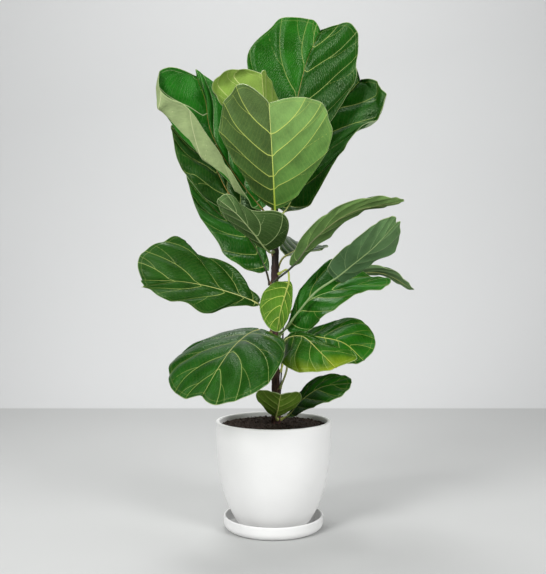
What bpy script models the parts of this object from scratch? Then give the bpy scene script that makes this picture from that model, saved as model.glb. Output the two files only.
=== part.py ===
# Potted fiddle leaf fig: a young single-stemmed plant in a round white pot on a saucer.
# World frame: metres, +Z up, the front towards -Y, the origin on the pot's axis at the
# saucer's underside. Angles are in degrees; an azimuth of 0 points along +X and 90 along +Y.

import math

import bmesh
import bpy
import numpy as np

# Clearance between pieces that touch
gap = 0.0003

# Saucer
saucer_radius = 0.104
saucer_height = 0.028
saucer_wall = 0.0045
saucer_floor = 0.005
saucer_foot_radius = 0.090
saucer_cove = 0.008

# Pot
pot_rim_radius = 0.1205
pot_foot_radius = 0.070
pot_steepness = 3.3
pot_straight_share = 0.1
pot_height = 0.219
pot_wall = 0.0078
pot_floor = 0.010
pot_lip = 0.0030
foot_ring_width = 0.010
foot_ring_height = 0.004
drain_hole_radius = 0.008
pot_foot_round = 0.004
pot_base = saucer_floor + gap

# Soil
soil_below_rim = 0.0115
soil_dome = 0.0040
soil_edge = 0.004

# Stem: rows of height, sideways drift from the pot's axis, and radius
stem_course = [
    (0.150, 0.005, 0.0098),
    (0.215, 0.005, 0.0096),
    (0.280, 0.0055, 0.0090),
    (0.340, 0.003, 0.0086),
    (0.410, 0.001, 0.0082),
    (0.500, 0.002, 0.0078),
    (0.580, 0.004, 0.0072),
    (0.672, 0.004, 0.0052),
]
stem_points = 28
bud_length = 0.034
bud_radius = 0.0048

# Stake: a thin stick pushed into the soil behind the stem
stake_radius = 0.0016
stake_foot = (0.009, 0.0135, 0.150)
stake_top = (0.0233, 0.0135, 0.475)

# Leaves
blade_thickness = 0.0010
tip_thinning = 0.6
stalk_radius = 0.0022
rib_depth = 0.0016
rib_width = 0.05
vein_sweep = 0.75
crease_width = 0.16
crease_limit = 0.9
cross_steps = 40
line_steps = 160
stalk_rings = 4
vein_places = (0.03, 0.08, 0.14, 0.21, 0.29, 0.38, 0.48, 0.59, 0.70, 0.81, 0.92)
cross_places = (0.04, 0.2, 0.38, 0.56, 0.72, 0.86, 1)

# Outlines of half a blade, for a length and a half width of 1. Each row is where a side
# vein leaves the midrib, then how far along and across it meets the edge.
outlines = {
    "broad": [
        (0, 0, 0), (0.03, 0, 0.18), (0.06, 0.03, 0.36), (0.11, 0.12, 0.55), (0.18, 0.28, 0.72),
        (0.27, 0.48, 0.86), (0.37, 0.67, 0.97), (0.49, 0.84, 1), (0.62, 0.96, 0.85),
        (0.77, 1.03, 0.57), (0.90, 1.04, 0.28), (1, 1, 0),
    ],
    "oval": [
        (0, 0, 0), (0.03, 0, 0.14), (0.06, 0.04, 0.30), (0.12, 0.16, 0.54), (0.20, 0.32, 0.78),
        (0.31, 0.50, 0.94), (0.43, 0.66, 1), (0.55, 0.79, 0.94), (0.68, 0.89, 0.76),
        (0.81, 0.96, 0.50), (0.92, 0.99, 0.26), (1, 1, 0),
    ],
}

# Each leaf leaves the stem at a node: its height and azimuth. Its stalk and midrib pass
# through points, and its upper side faces an azimuth and elevation at the blade's base and
# tip. Left and right are as seen from above with the tip ahead. Each half has its widths
# from base to tip, the angle that it is folded up along the midrib, the further angle that
# it curls by at the edge, and how far the side veins reach forwards. A crease is the place,
# from 0 at the midrib to 1 at the edge, where a half turns over by a further angle.
leaves = {
    "top_leaf": {
        "node": (0.676, 80),
        "stalk": [],
        "rib": [(0.025, 0.03, 0.774), (0.053, 0.05, 0.916), (0.075, 0.055, 1.0), (0.101, 0.05, 1.057)],
        "facing": [(-90, 5), (-90, 5)],
        "outline": "broad",
        "left": {"width": (0.07, 0.1, 0.118, 0.13, 0.1, 0.1, 0.07, 0.06, 0.05), "fold": 8},
        "right": {
            "width": (0.08, 0.1, 0.118, 0.12, 0.11, 0.112, 0.122, 0.12, 0.08), "fold": 12, "curl": 8,
            "reach": (1, 1, 1, 1, 1, 1.1, 1.27, 1.4, 1),
        },
    },
    "upper_right_leaf": {
        "node": (0.653, 30),
        "stalk": [],
        "rib": [(0.023, 0.026, 0.663), (0.084, 0.06, 0.788), (0.133, 0.08, 0.888), (0.191, 0.08, 0.958)],
        "facing": [(-110, 10), (-100, 10)],
        "outline": "broad",
        "left": {"width": (0.12, 0.09, 0.09, 0.09, 0.09), "fold": 10},
        "right": {
            "width": (0.11, 0.088, 0.074, 0.085, 0.115, 0.145, 0.16, 0.15, 0.12), "fold": 10,
            "crease": (1, 0.95, 0.85, 0.78, 0.78), "turn": (0, 0, 60, 130, 140),
        },
    },
    "front_leaf": {
        "node": (0.639, -90),
        "stalk": [],
        "rib": [
            (0.003, -0.026, 0.662), (-0.001, -0.075, 0.738), (-0.005, -0.1, 0.803),
            (-0.009, -0.11, 0.864),
        ],
        "facing": [(90, 10), (90, 5)],
        "outline": "broad",
        "left": {"width": (0.08, 0.105, 0.135, 0.138, 0.127, 0.14, 0.15, 0.16, 0.15), "fold": 20},
        "right": {
            "width": (0.08, 0.1, 0.12, 0.13, 0.13, 0.136, 0.155, 0.175, 0.17), "fold": 35,
            "reach": (1, 1, 1, 1, 1, 1.24, 1.38, 1.9, 2.2),
        },
    },
    "young_leaf": {
        "node": (0.665, 140),
        "stalk": [],
        "rib": [
            (-0.003, -0.002, 0.717), (-0.011, -0.015, 0.809), (-0.019, -0.025, 0.879),
            (-0.024, -0.03, 0.942),
        ],
        "facing": [(90, 0), (90, 0)],
        "outline": "broad",
        "left": {"width": (0.05, 0.06, 0.065, 0.055, 0.035, 0.035), "fold": (30, 45, 60, 66, 60)},
        "right": {
            "width": (0.05, 0.06, 0.08, 0.125, 0.155, 0.14), "crease": (1, 1, 0.85, 0.84),
            "turn": (0, 0, -110, -140),
        },
    },
    "upper_left_leaf": {
        "node": (0.644, 175),
        "stalk": [],
        "rib": [
            (-0.024, 0.0, 0.667), (-0.094, 0.01, 0.759), (-0.135, 0.018, 0.84), (-0.145, 0.02, 0.9),
            (-0.164, 0.02, 0.951),
        ],
        "facing": [(-80, 10), (-80, 10)],
        "outline": "broad",
        "left": {
            "width": (0.05, 0.06, 0.066, 0.088, 0.125, 0.156, 0.18, 0.17, 0.12),
            "crease": (0.5, 0.5, 0.52, 0.6, 0.74, 0.8, 0.84, 0.87, 0.9),
            "turn": (0, 90, 140, 142, 142, 142, 142, 130, 100),
            "reach": (1, 1, 1, 1, 1, 1, 1.15, 1.35, 1.4),
        },
        "right": {"width": (0.05, 0.06, 0.06, 0.05, 0.042, 0.026, 0.015, 0.012, 0.012)},
    },
    "inner_left_leaf": {
        "node": (0.612, -175),
        "stalk": [],
        "rib": [
            (-0.034, -0.0, 0.644), (-0.092, 0.014, 0.698), (-0.135, 0.028, 0.772), (-0.172, 0.03, 0.802),
            (-0.204, 0.03, 0.843),
        ],
        "facing": [(-80, 10), (-80, 10)],
        "outline": "broad",
        "left": {"width": (0.03, 0.042, 0.072, 0.066, 0.04, 0.026, 0.024, 0.024, 0.024), "fold": 8},
        "right": {"width": (0.05, 0.055, 0.045, 0.028, 0.024), "fold": -5},
    },
    "outer_left_leaf": {
        "node": (0.507, -170),
        "stalk": [],
        "rib": [
            (-0.015, -0.005, 0.536), (-0.035, 0.008, 0.581), (-0.058, 0.02, 0.613),
            (-0.13, 0.045, 0.673), (-0.188, 0.06, 0.753),
        ],
        "facing": [(-75, 15), (-80, 10)],
        "outline": "oval",
        "left": {"width": (0.13, 0.11, 0.066, 0.042, 0.03, 0.022, 0.018, 0.015, 0.015)},
        "right": {"width": (0.03, 0.035, 0.035)},
    },
    "cupped_leaf": {
        "node": (0.576, -120),
        "stalk": [],
        "rib": [
            (-0.009, -0.036, 0.575), (-0.043, -0.075, 0.615), (-0.074, -0.1, 0.649),
            (-0.109, -0.11, 0.676),
        ],
        "facing": [(55, 70), (60, 42), (60, 40)],
        "outline": "oval",
        "left": {
            "width": (0.095, 0.118, 0.078, 0.034, 0.022, 0.028, 0.034, 0.036, 0.036), "fold": 15,
            "curl": (30, 50), "reach": (1.3, 1.5, 1.3, 1, 1, 1, 1, 1, 1),
        },
        "right": {"width": (0.05, 0.04, 0.03), "fold": 12},
    },
    "thin_right_leaf": {
        "node": (0.512, -105),
        "stalk": [(0.011, -0.043, 0.522)],
        "rib": [
            (0.038, -0.056, 0.544), (0.08, -0.068, 0.598), (0.152, -0.075, 0.651),
            (0.264, -0.065, 0.676),
        ],
        "facing": [(90, 75), (90, 80)],
        "outline": "oval",
        "left": {"width": (0.02, 0.047, 0.034, 0.018, 0.012, 0.01, 0.01), "fold": -10},
        "right": {"width": (0.05, 0.037, 0.03, 0.03, 0.028, 0.025, 0.025), "fold": (25, 15)},
    },
    "back_leaf": {
        "node": (0.543, 50),
        "stalk": [(0.018, 0.02, 0.562)],
        "rib": [(0.027, 0.04, 0.57), (0.05, 0.1, 0.585), (0.066, 0.16, 0.595), (0.075, 0.22, 0.598)],
        "facing": [(-90, 45), (-90, 45)],
        "outline": "oval",
        "left": {"width": 0.06, "fold": 20},
        "right": {"width": 0.06, "fold": 10},
    },
    "middle_right_leaf": {
        "node": (0.396, -30),
        "stalk": [(0.051, -0.03, 0.451), (0.087, -0.04, 0.493)],
        "rib": [(0.125, -0.035, 0.519), (0.16, -0.05, 0.548), (0.201, -0.08, 0.583), (0.244, -0.09, 0.63)],
        "facing": [(100, 60), (100, 50)],
        "outline": "broad",
        "left": {"width": (0.08, 0.062, 0.044, 0.056, 0.046, 0.028, 0.014, 0.012, 0.012)},
        "right": {"width": (0.12, 0.072, 0.054, 0.043, 0.036, 0.03, 0.03, 0.03, 0.03), "fold": 8},
    },
    "narrow_right_leaf": {
        "node": (0.429, 85),
        "stalk": [(0.033, 0.03, 0.447)],
        "rib": [(0.068, 0.04, 0.475), (0.144, 0.05, 0.522), (0.234, 0.045, 0.533), (0.301, 0.035, 0.497)],
        "facing": [(90, 75), (90, 70)],
        "outline": "oval",
        "left": {"width": 0.02},
        "right": {"width": (0.02, 0.025, 0.025, 0.02), "fold": (10, 0)},
    },
    "arching_leaf": {
        "node": (0.404, -10),
        "stalk": [],
        "rib": [
            (0.028, -0.005, 0.417), (0.074, -0.012, 0.474), (0.149, -0.01, 0.501),
            (0.246, -0.005, 0.516),
        ],
        "facing": [(-90, 40), (-90, 60)],
        "outline": "oval",
        "left": {"width": (0.02, 0.028, 0.06, 0.08, 0.045, 0.02, 0.02, 0.024, 0.024), "fold": (10, 20)},
        "right": {"width": (0.13, 0.09, 0.066, 0.044, 0.028, 0.034, 0.034, 0.024, 0.024)},
    },
    "middle_left_leaf": {
        "node": (0.449, -170),
        "stalk": [],
        "rib": [
            (-0.032, -0.02, 0.468), (-0.105, -0.05, 0.497), (-0.179, -0.06, 0.513),
            (-0.266, -0.06, 0.517),
        ],
        "facing": [(-80, 20), (-100, 10)],
        "outline": "broad",
        "left": {
            "width": (0.03, 0.03, 0.05, 0.076, 0.05, 0.046, 0.036, 0.022, 0.02, 0.024, 0.032, 0.038, 0.038),
            "fold": (15, 10), "reach": (1, 1, 1, 1, 1, 1, 1, 1, 1, 0.9, 0.75, 0.6, 1),
        },
        "right": {
            "width": (0.06, 0.045, 0.08, 0.078, 0.07, 0.098, 0.085, 0.082, 0.081, 0.085, 0.09, 0.095, 0.09),
            "fold": (-15, 0),
        },
    },
    "lower_left_leaf": {
        "node": (0.407, -130),
        "stalk": [],
        "rib": [(-0.03, -0.03, 0.414), (-0.07, -0.1, 0.394), (-0.101, -0.16, 0.355), (-0.132, -0.2, 0.301)],
        "facing": [(-110, 60), (-120, 20)],
        "outline": "broad",
        "left": {"width": (0.11, 0.125, 0.13, 0.118, 0.098, 0.078, 0.07, 0.065, 0.065), "curl": -20},
        "right": {"width": (0.1, 0.13, 0.145, 0.13, 0.112, 0.1, 0.09, 0.09, 0.09), "curl": (-30, -20)},
    },
    "hanging_leaf": {
        "node": (0.53, -30),
        "stalk": [(0.028, -0.009, 0.539)],
        "rib": [
            (0.032, -0.018, 0.515), (0.026, -0.023, 0.493), (0.016, -0.034, 0.46), (0.007, -0.04, 0.411),
        ],
        "facing": [(85, 20), (85, 0), (85, 0)],
        "outline": "oval",
        "left": {"width": (0.07, 0.062, 0.052, 0.045, 0.038, 0.034, 0.032, 0.03, 0.03)},
        "right": {"width": (0.028, 0.02, 0.014), "fold": (15, 30, 35)},
    },
    "yellowing_leaf": {
        "node": (0.291, -40),
        "stalk": [(0.028, -0.02, 0.335)],
        "rib": [(0.024, -0.03, 0.392), (0.056, -0.07, 0.404), (0.091, -0.12, 0.376), (0.12, -0.14, 0.347)],
        "facing": [(-80, 50), (-70, 40)],
        "outline": "oval",
        "left": {
            "width": (0.02, 0.015, 0.016, 0.02, 0.03, 0.045, 0.08, 0.11, 0.1), "fold": (20, 10),
            "reach": (1, 1, 1, 1, 1, 1, 1.3, 1.8, 1.8),
        },
        "right": {
            "width": (0.09, 0.09, 0.08, 0.07, 0.058, 0.046, 0.038, 0.03, 0.03), "fold": (-30, -20),
            "reach": (1, 1.2, 1.1, 1, 1),
        },
    },
    "lower_right_leaf": {
        "node": (0.324, 10),
        "stalk": [(0.031, 0.02, 0.369)],
        "rib": [(0.063, 0.01, 0.397), (0.107, -0.02, 0.397), (0.146, -0.05, 0.387), (0.182, -0.07, 0.354)],
        "facing": [(-90, 45), (-80, 40)],
        "outline": "oval",
        "left": {"width": (0.05, 0.06, 0.075, 0.075, 0.068, 0.068, 0.07, 0.075, 0.07)},
        "right": {"width": (0.06, 0.05, 0.04)},
    },
    "small_bottom_leaf": {
        "node": (0.227, -75),
        "stalk": [],
        "rib": [
            (0.005, -0.03, 0.235), (0.009, -0.05, 0.254), (0.013, -0.065, 0.279), (0.015, -0.075, 0.288),
        ],
        "facing": [(90, 40), (90, 60)],
        "outline": "oval",
        "left": {"width": (0.045, 0.05, 0.045), "fold": 20},
        "right": {"width": (0.045, 0.05, 0.045), "fold": 20},
    },
    "bottom_right_leaf": {
        "node": (0.226, -20),
        "stalk": [],
        "rib": [(0.03, -0.01, 0.234), (0.059, -0.03, 0.27), (0.099, -0.05, 0.299), (0.158, -0.07, 0.31)],
        "facing": [(-90, 50), (-90, 50)],
        "outline": "oval",
        "left": {"width": (0.02, 0.03, 0.03, 0.03)},
        "right": {"width": (0.03, 0.045, 0.045, 0.03)},
    },
}


def smooth(keys, at):
    """Reads a smooth curve through keys, which are rows of a place on it and the values there."""
    keys = np.array(keys, float)
    at = np.atleast_1d(np.array(at, float))
    knots, values = keys[:, 0], keys[:, 1:]
    slopes = np.gradient(values, knots, axis=0)
    row = np.clip(np.searchsorted(knots, at, side="right") - 1, 0, len(knots) - 2)
    span = (knots[row + 1] - knots[row])[:, None]
    t = (at - knots[row])[:, None] / span
    start = values[row] * (1 + 2 * t) * (1 - t) ** 2 + slopes[row] * span * t * (1 - t) ** 2
    end = values[row + 1] * t**2 * (3 - 2 * t) - slopes[row + 1] * span * t**2 * (1 - t)
    return start + end


def spread(values, places):
    """Spreads values evenly over 0 to 1 as a smooth curve, and reads it at places."""
    values = np.atleast_1d(np.array(values, float))
    if len(values) == 1:
        return np.full(len(places), values[0])
    return smooth(np.column_stack([np.linspace(0, 1, len(values)), values]), places)[:, 0]


def direction(azimuth, elevation):
    turn, rise = math.radians(azimuth), math.radians(elevation)
    return np.array([math.cos(rise) * math.cos(turn), math.cos(rise) * math.sin(turn), math.sin(rise)])


def unit(vectors):
    return vectors / np.linalg.norm(vectors, axis=-1, keepdims=True)


def collection(name, hidden=False):
    made = bpy.data.collections.new(name)
    bpy.context.scene.collection.children.link(made)
    made.hide_render = hidden
    return made


def material(name, color, roughness):
    made = bpy.data.materials.new(name)
    made.use_nodes = True
    shader = made.node_tree.nodes["Principled BSDF"]
    shader.inputs["Base Color"].default_value = (*color, 1)
    shader.inputs["Roughness"].default_value = roughness
    shader.inputs["Metallic"].default_value = 0
    return made


def add_object(name, data, home, finish=None):
    obj = bpy.data.objects.new(name, data)
    home.objects.link(obj)
    if finish:
        data.materials.append(finish)
    return obj


def mesh_of(name, build):
    """A mesh that build fills in, shaded smooth."""
    mesh = bpy.data.meshes.new(name)
    shape = bmesh.new()
    build(shape)
    shape.to_mesh(mesh)
    shape.free()
    mesh.shade_smooth()
    mesh.set_sharp_from_angle(angle=math.radians(35))
    return mesh


def turned(name, profile, home, finish, closed=False):
    """A profile of (radius, height) points at +X, turned about the Z axis."""

    def build(shape):
        corners = [shape.verts.new((radius, 0, height)) for radius, height in profile]
        for first, second in zip(corners, corners[1:]):
            shape.edges.new((first, second))
        if closed:
            shape.edges.new((corners[-1], corners[0]))

    obj = add_object(name, mesh_of(name, build), home, finish)
    screw = obj.modifiers.new("turn", "SCREW")
    screw.steps = screw.render_steps = 40
    screw.use_merge_vertices = True
    screw.merge_threshold = 0.0001
    screw.use_smooth_shade = True
    return obj


def tube(name, points, radii, home, finish, sides=4):
    """A round tube with filled caps through points, with its own radius at each."""
    data = bpy.data.curves.new(name, "CURVE")
    data.dimensions = "3D"
    data.bevel_depth = 1
    data.bevel_resolution = sides
    data.use_fill_caps = True
    spline = data.splines.new("POLY")
    spline.points.add(len(points) - 1)
    for spot, point, radius in zip(spline.points, points, radii):
        spot.co = (*point, 1)
        spot.radius = radius
    return add_object(name, data, home, finish)


def rounded(centre, radius, start, end, count=4):
    """Points on an arc about centre, in the plane of a profile."""
    angles = np.radians(np.linspace(start, end, count))
    return [(centre[0] + radius * math.cos(a), centre[1] + radius * math.sin(a)) for a in angles]


def pot_radius(height):
    """The pot's outer radius at a height above its foot: a steep curve that eases to the rim."""
    left = 1 - height / pot_height
    curve = (1 - pot_straight_share) * left**pot_steepness + pot_straight_share * left
    return pot_rim_radius - (pot_rim_radius - pot_foot_radius) * curve


def add_saucer(home, finish):
    inner = saucer_radius - saucer_wall
    lip = saucer_wall / 2
    corner = saucer_radius - saucer_foot_radius
    cove = inner - saucer_cove - saucer_wall / 2
    profile = [(0, saucer_floor), (cove, saucer_floor)]
    profile += rounded((cove, saucer_floor + saucer_cove), saucer_cove, -60, -10)
    profile += rounded((saucer_radius - lip, saucer_height - lip), lip, 180, 0, 6)
    profile += rounded((saucer_foot_radius, corner), corner, 0, -90, 6)
    profile.append((0, 0))
    turned("saucer", profile, home, finish)


def add_pot(home, finish):
    floor_top = pot_base + pot_floor
    heights = np.linspace(pot_floor, pot_height - pot_lip, 12)
    inside = [(pot_radius(height) - pot_wall, pot_base + height) for height in heights]
    outside = [(pot_radius(height), pot_base + height) for height in heights[::-1]]
    top = (pot_rim_radius - pot_wall / 2, pot_base + pot_height - pot_lip)
    lip = [(top[0] + x * pot_wall / 2, top[1] + z * pot_lip) for x, z in rounded((0, 0), 1, 150, 30, 5)]
    foot_inner = pot_foot_radius - foot_ring_width
    profile = [(drain_hole_radius, floor_top)] + inside + lip + outside
    profile.append((pot_radius(pot_foot_round), pot_base + pot_foot_round))
    profile.append((pot_foot_radius - pot_foot_round / 2, pot_base))
    profile += [(foot_inner, pot_base), (foot_inner - pot_foot_round / 2, pot_base + foot_ring_height)]
    profile.append((drain_hole_radius, pot_base + foot_ring_height))
    turned("pot", profile, home, finish, closed=True)


def soil_top(radius):
    share = radius / (pot_rim_radius - pot_wall)
    return pot_base + pot_height - soil_below_rim + soil_dome * (1 - share**2)


def add_cutter(name, start, end, radius, home):
    """A closed cylinder between two points that cuts a socket."""
    bpy.ops.mesh.primitive_cylinder_add(vertices=20, radius=radius, depth=math.dist(start, end))
    cutter = bpy.context.object
    cutter.name = name
    axis = np.array(end) - np.array(start)
    cutter.location = np.array(start) + axis / 2
    cutter.rotation_euler = (0, math.atan2(axis[0], axis[2]), 0)
    cutter.hide_render = True
    cutter.display_type = "WIRE"
    for used in list(cutter.users_collection):
        used.objects.unlink(cutter)
    home.objects.link(cutter)
    return cutter


def add_soil(home, cutters, finish):
    heights = np.linspace(pot_height - soil_below_rim, pot_floor + gap, 8)
    side = [(pot_radius(height) - pot_wall - 2 * gap, pot_base + height) for height in heights]
    tops = [(radius, soil_top(radius)) for radius in np.linspace(0, side[0][0] - soil_edge, 7)]
    profile = tops + side + [(0, side[-1][1])]
    soil = turned("soil", profile, home, finish)
    stem_foot, drift, radius = stem_course[0]
    top = pot_base + pot_height
    sockets = {
        "stem_socket": ((drift, 0, stem_foot - gap), (drift, 0, top), radius + gap),
        "stake_socket": (stake_foot, along_stake(top), stake_radius + gap),
    }
    for name, (start, end, size) in sockets.items():
        cut = soil.modifiers.new(name, "BOOLEAN")
        cut.operation = "DIFFERENCE"
        cut.object = add_cutter(name, start, end, size, cutters)


def along_stake(height):
    share = (height - stake_foot[2]) / (stake_top[2] - stake_foot[2])
    return tuple(np.array(stake_foot) + share * (np.array(stake_top) - np.array(stake_foot)))


def add_stem(home, bark, sheath):
    heights = np.linspace(stem_course[0][0], stem_course[-1][0], stem_points)
    course = smooth(stem_course, heights)
    points = [(drift, 0, height) for height, (drift, _) in zip(heights, course)]
    tube("stem", points, course[:, 1], home, bark)
    top = np.array(points[-1]) + (0, 0, gap)
    shares = np.array([0, 0.15, 0.35, 0.6, 0.85, 1])
    radii = bud_radius * (1 - shares**2) + 0.0004
    tube("terminal_bud", [top + (0, 0, share * bud_length) for share in shares], radii, home, sheath, 2)


def add_stake(home, finish):
    foot = along_stake(stake_foot[2] + gap)
    tube("stake", [foot, stake_top], [stake_radius, stake_radius], home, finish, 2)


def stalk_start(leaf, girth):
    """The centre of the stalk's end: just clear of the stem at the leaf's node."""
    height, azimuth = leaf["node"]
    drift, radius = smooth(stem_course, height)[0]
    outward = direction(azimuth, 0)
    skin = np.array([drift, 0, height]) + radius * outward
    aim = unit(np.array((leaf["stalk"] + leaf["rib"])[0]) - skin)
    return skin + outward * (gap + girth * math.sqrt(1 - min(1, aim @ outward) ** 2))


def centre_line(leaf):
    """Stalk and midrib as one line: distances past the blade's base, points, and three axes at each."""
    girth = stalk_radius * leaf.get("girth", 1)
    points = np.array([stalk_start(leaf, girth)] + leaf["stalk"] + leaf["rib"])
    steps = np.linalg.norm(np.diff(points, axis=0), axis=1) ** 0.75
    places = np.concatenate([[0], np.cumsum(steps)])
    at = np.linspace(0, places[-1], line_steps)
    line = smooth(np.column_stack([places, points]), at)
    reach = np.concatenate([[0], np.cumsum(np.linalg.norm(np.diff(line, axis=0), axis=1))])
    reach -= np.interp(places[1 + len(leaf["stalk"])], at, reach)
    length = reach[-1]
    past = np.linspace(0.02, 0.3, 12) * length
    line = np.vstack([line, line[-1] + unit(line[-1] - line[-14]) * past[:, None]])
    reach = np.concatenate([reach, length + past])
    along = unit(np.gradient(line, reach, axis=0))
    faces = np.array([direction(*facing) for facing in leaf["facing"]])
    share = np.clip(reach / length, 0, 1)
    up = np.column_stack([spread(faces[:, axis], share) for axis in range(3)])
    up = unit(up - along * (up * along).sum(axis=1, keepdims=True))
    side = np.cross(along, up)
    return {"reach": reach, "length": length, "girth": girth, "point": line, "up": up, "side": side}


def read(line, key, reach):
    return np.column_stack([np.interp(reach, line["reach"], line[key][:, axis]) for axis in range(3)])


def columns(half, us):
    """Places across one half, for each side vein. They crowd together about a crease."""
    if "crease" not in half:
        return np.tile(cross_places, (len(us), 1))
    crease = np.minimum(spread(half["crease"], us), crease_limit)
    flat, sharp = crease_width / 2, crease_width / 5
    inner = np.full(len(us), cross_places[0])
    edge = np.ones(len(us))
    near = [crease - flat, crease - sharp, crease + sharp, crease + flat]
    return np.column_stack([inner, (crease - flat) / 2, *near, edge])


def blade(leaf, line, us, vs):
    """Points of the blade. us says where on the midrib each side vein starts; each row of vs runs
    across, from -1 at the left edge to 1 at the right."""
    along, across = smooth(outlines[leaf["outline"]], us).T
    points = np.zeros((*vs.shape, 3))
    for column, v in enumerate(vs.T):
        side = math.copysign(1, v[0])
        half = leaf["right" if side > 0 else "left"]
        out = abs(v)
        sweep = (vein_sweep * out + (1 - vein_sweep) * out**2) * spread(half.get("reach", 1), us)
        reach = (us + (along - us) * sweep) * line["length"]
        steps = np.linspace(0, out, cross_steps).T
        fold, curl, crease, turn = (
            spread(half.get(key, idle), us)[:, None]
            for key, idle in (("fold", 0), ("curl", 0), ("crease", 1), ("turn", 0))
        )
        past = np.clip((steps - crease) / crease_width + 0.5, 0, 1)
        bend = np.radians(fold + curl * steps**2 + turn * past**2 * (3 - 2 * past))
        width = across * spread(half["width"], us)
        outwards = np.trapz(np.cos(bend), steps, axis=1) * width * side
        upwards = np.trapz(np.sin(bend), steps, axis=1) * width
        points[:, column] = (
            read(line, "point", reach)
            + read(line, "side", reach) * outwards[:, None]
            + read(line, "up", reach) * upwards[:, None]
        )
    return points


def add_leaf(name, leaf, home, finish):
    """One leaf as a loft: round rings up the stalk, then flat rings that follow the side veins. Above
    and below, each cell is split along the same diagonal, so that the blade keeps its thickness."""
    line = centre_line(leaf)
    us = np.array(vein_places)
    left, right = -columns(leaf["left"], us)[:, ::-1], columns(leaf["right"], us)
    vs = np.column_stack([left, np.zeros(len(us)), right])
    count = vs.shape[1]
    middle = blade(leaf, line, us, vs)
    normals = unit(np.cross(np.gradient(middle, axis=1), np.gradient(middle, us, axis=0)))
    ridge = np.exp(-((vs / rib_width) ** 2)) * (1 - us[:, None]) * rib_depth * line["girth"] / stalk_radius
    half_thickness = blade_thickness / 2 * (1 - tip_thinning * us[:, None] ** 4)
    above = middle + normals * half_thickness[:, :, None]
    below = middle - normals * (half_thickness + ridge)[:, :, None]
    flat_rings = np.concatenate([above, below[:, ::-1]], axis=1)

    turn = math.pi * (np.arange(count) + 0.5) / count
    turn = np.concatenate([math.pi - turn, -turn])
    reach = np.linspace(line["reach"][0], 0, stalk_rings)
    centres, sides, ups = (read(line, key, reach)[:, None] for key in ("point", "side", "up"))
    circle = np.cos(turn)[None, :, None] * sides + np.sin(turn)[None, :, None] * ups
    round_rings = centres + line["girth"] * circle
    tip = read(line, "point", [line["length"]])[0]

    def build(shape):
        rings = [[shape.verts.new(spot) for spot in ring] for ring in [*round_rings, *flat_rings]]
        for low, high in zip(rings, rings[1:]):
            quads = zip(low, low[1:] + low[:1], high[1:] + high[:1], high)
            for place, (a, b, c, d) in enumerate(quads):
                outer_first = place % count < count // 2
                halves = [(a, b, c), (a, c, d)] if outer_first else [(a, b, d), (b, c, d)]
                for corners in halves:
                    shape.faces.new(corners)
        shape.faces.new(rings[0][::-1])
        end = shape.verts.new(tip)
        for a, b in zip(rings[-1], rings[-1][1:] + rings[-1][:1]):
            shape.faces.new((a, b, end))

    add_object(name, mesh_of(name, build), home, finish)


def main():
    for obj in list(bpy.data.objects):
        bpy.data.objects.remove(obj)
    home = collection("potted_fiddle_leaf_fig")
    cutters = collection("cutters", hidden=True)

    ceramic = material("white_ceramic", (0.86, 0.86, 0.85), 0.45)
    compost = material("compost", (0.035, 0.022, 0.015), 0.95)
    bark = material("bark", (0.13, 0.06, 0.045), 0.8)
    sheath = material("bud_sheath", (0.25, 0.14, 0.07), 0.7)
    stick = material("dark_stake", (0.012, 0.012, 0.012), 0.6)
    green = material("leaf_green", (0.03, 0.16, 0.02), 0.4)

    add_saucer(home, ceramic)
    add_pot(home, ceramic)
    add_soil(home, cutters, compost)
    add_stem(home, bark, sheath)
    add_stake(home, stick)
    for name, leaf in leaves.items():
        add_leaf(name, leaf, home, green)


main()
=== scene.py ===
# A potted fiddle leaf fig: the looks of every piece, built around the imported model.
# Lengths are in metres unless a note says millimetres. The front is towards -Y, and the pot stands on
# the Z axis.

import functools
import math
import random

import bmesh
import bpy
import numpy as np
from mathutils import Matrix, Vector, noise


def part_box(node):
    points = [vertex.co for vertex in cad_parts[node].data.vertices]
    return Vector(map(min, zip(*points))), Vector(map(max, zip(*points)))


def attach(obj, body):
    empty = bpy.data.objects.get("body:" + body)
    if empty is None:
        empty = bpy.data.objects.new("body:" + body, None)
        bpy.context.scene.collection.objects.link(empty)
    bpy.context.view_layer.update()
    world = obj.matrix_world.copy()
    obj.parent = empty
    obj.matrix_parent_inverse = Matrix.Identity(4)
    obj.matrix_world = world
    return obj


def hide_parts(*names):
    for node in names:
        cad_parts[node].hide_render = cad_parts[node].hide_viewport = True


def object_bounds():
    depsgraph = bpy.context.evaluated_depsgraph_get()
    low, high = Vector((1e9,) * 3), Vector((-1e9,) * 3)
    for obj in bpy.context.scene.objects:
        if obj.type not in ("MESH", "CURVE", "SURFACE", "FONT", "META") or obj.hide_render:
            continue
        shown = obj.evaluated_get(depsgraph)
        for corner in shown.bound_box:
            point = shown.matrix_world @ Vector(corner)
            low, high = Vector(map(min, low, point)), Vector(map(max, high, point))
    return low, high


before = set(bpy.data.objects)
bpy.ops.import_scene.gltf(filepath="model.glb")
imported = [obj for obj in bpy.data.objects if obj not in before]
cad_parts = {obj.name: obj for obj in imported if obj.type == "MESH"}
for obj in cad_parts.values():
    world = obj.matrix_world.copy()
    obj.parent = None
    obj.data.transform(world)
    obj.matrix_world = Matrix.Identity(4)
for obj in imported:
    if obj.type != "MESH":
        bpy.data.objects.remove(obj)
cadLow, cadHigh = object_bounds()
print("frame loaded:", len(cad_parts), "nodes")


def toLinear(hexColour, brightness=1):
    channels = [int(hexColour[i:i + 2], 16) / 255 for i in (1, 3, 5)]
    linear = [c / 12.92 if c <= 0.04045 else ((c + 0.055) / 1.055) ** 2.4 for c in channels]
    return (*[min(1, c * brightness) for c in linear], 1)


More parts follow.
